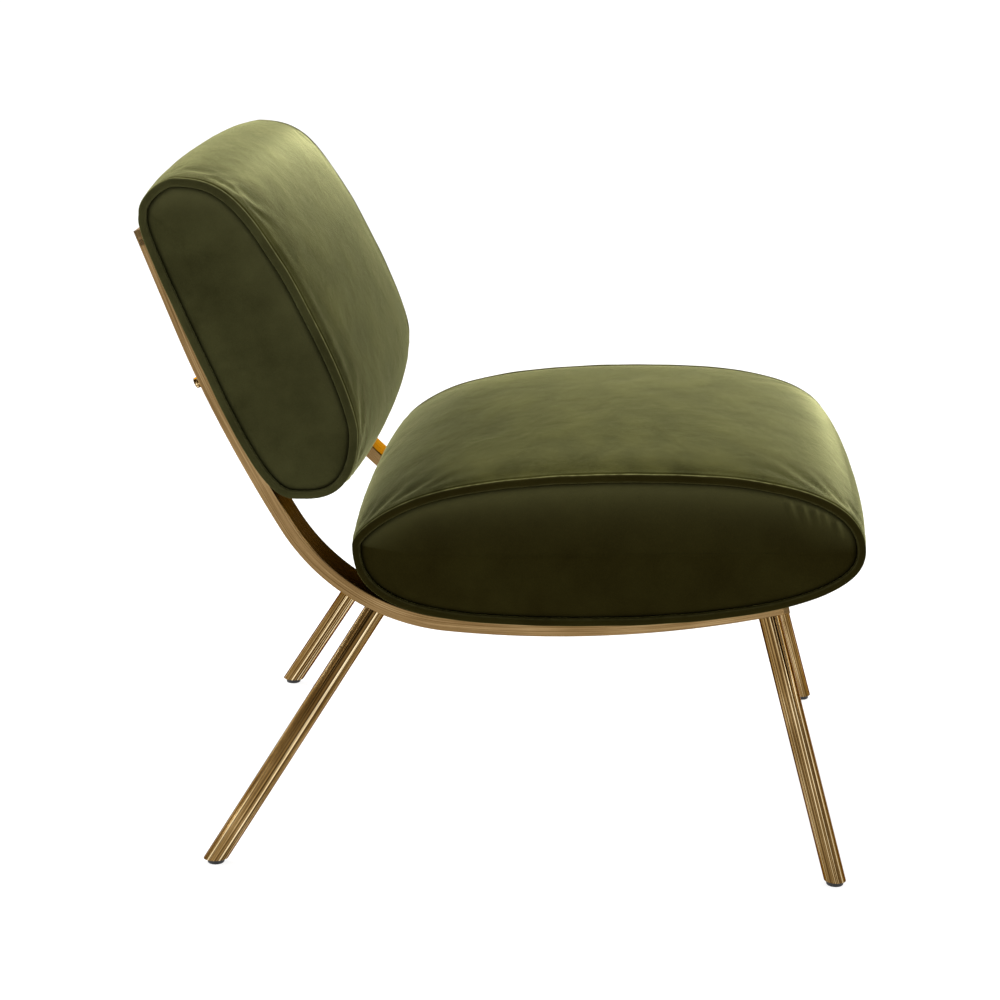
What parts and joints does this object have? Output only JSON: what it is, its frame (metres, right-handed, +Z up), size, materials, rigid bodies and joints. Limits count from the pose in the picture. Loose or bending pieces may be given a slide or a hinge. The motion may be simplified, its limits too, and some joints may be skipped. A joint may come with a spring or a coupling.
{
  "type": "armless upholstered chair",
  "caption": "Low armless chair with padded back and seat cushions, piped at both sides, on a bent flat-tube brass frame with splayed round legs",
  "frame": {"origin": "middle of the footprint of the bounding box, on the floor", "axes": "+Z up; the chair faces -Y; +X is the sitter's left; the plane X = 0 is the mirror plane"},
  "size_m": [0.6046, 0.7362, 0.715],
  "materials": {
    "olive_velvet": "short-pile olive-green velvet over foam",
    "brushed_brass": "brushed antique brass",
    "polished_brass": "polished antique brass",
    "black_plastic": "moulded black nylon",
    "plywood": "unfinished birch plywood",
    "foam": "cut polyurethane foam",
    "zinc_steel": "zinc-plated steel",
    "black_cloth": "thin black non-woven cloth"
  },
  "bodies": {
    "root": {"side_rail_left": "brushed_brass", "side_rail_right": "brushed_brass", "crossbar_back": "brushed_brass", "crossbar_seat_rear": "brushed_brass", "crossbar_seat_front": "brushed_brass", "leg_front_left": "polished_brass", "glide_front_left": "black_plastic", "leg_front_right": "polished_brass", "glide_front_right": "black_plastic", "leg_rear_left": "polished_brass", "glide_rear_left": "black_plastic", "leg_rear_right": "polished_brass", "glide_rear_right": "black_plastic", "seat_board": "plywood", "seat_foam": "foam", "seat_cover": "olive_velvet", "seat_side_panel_left": "olive_velvet", "seat_welt_left": "olive_velvet", "seat_side_panel_right": "olive_velvet", "seat_welt_right": "olive_velvet", "back_board": "plywood", "back_foam": "foam", "back_cover": "olive_velvet", "back_side_panel_left": "olive_velvet", "back_welt_left": "olive_velvet", "back_side_panel_right": "olive_velvet", "back_welt_right": "olive_velvet", "seat_dust_cover": "black_cloth", "bolt_back_left": "polished_brass", "tee_nut_back_left": "zinc_steel", "bolt_seat_front_left": "polished_brass", "tee_nut_seat_front_left": "zinc_steel", "bolt_seat_rear_left": "polished_brass", "tee_nut_seat_rear_left": "zinc_steel", "bolt_back_right": "polished_brass", "tee_nut_back_right": "zinc_steel", "bolt_seat_front_right": "polished_brass", "tee_nut_seat_front_right": "zinc_steel", "bolt_seat_rear_right": "polished_brass", "tee_nut_seat_rear_right": "zinc_steel"}
  },
  "joints": []
}
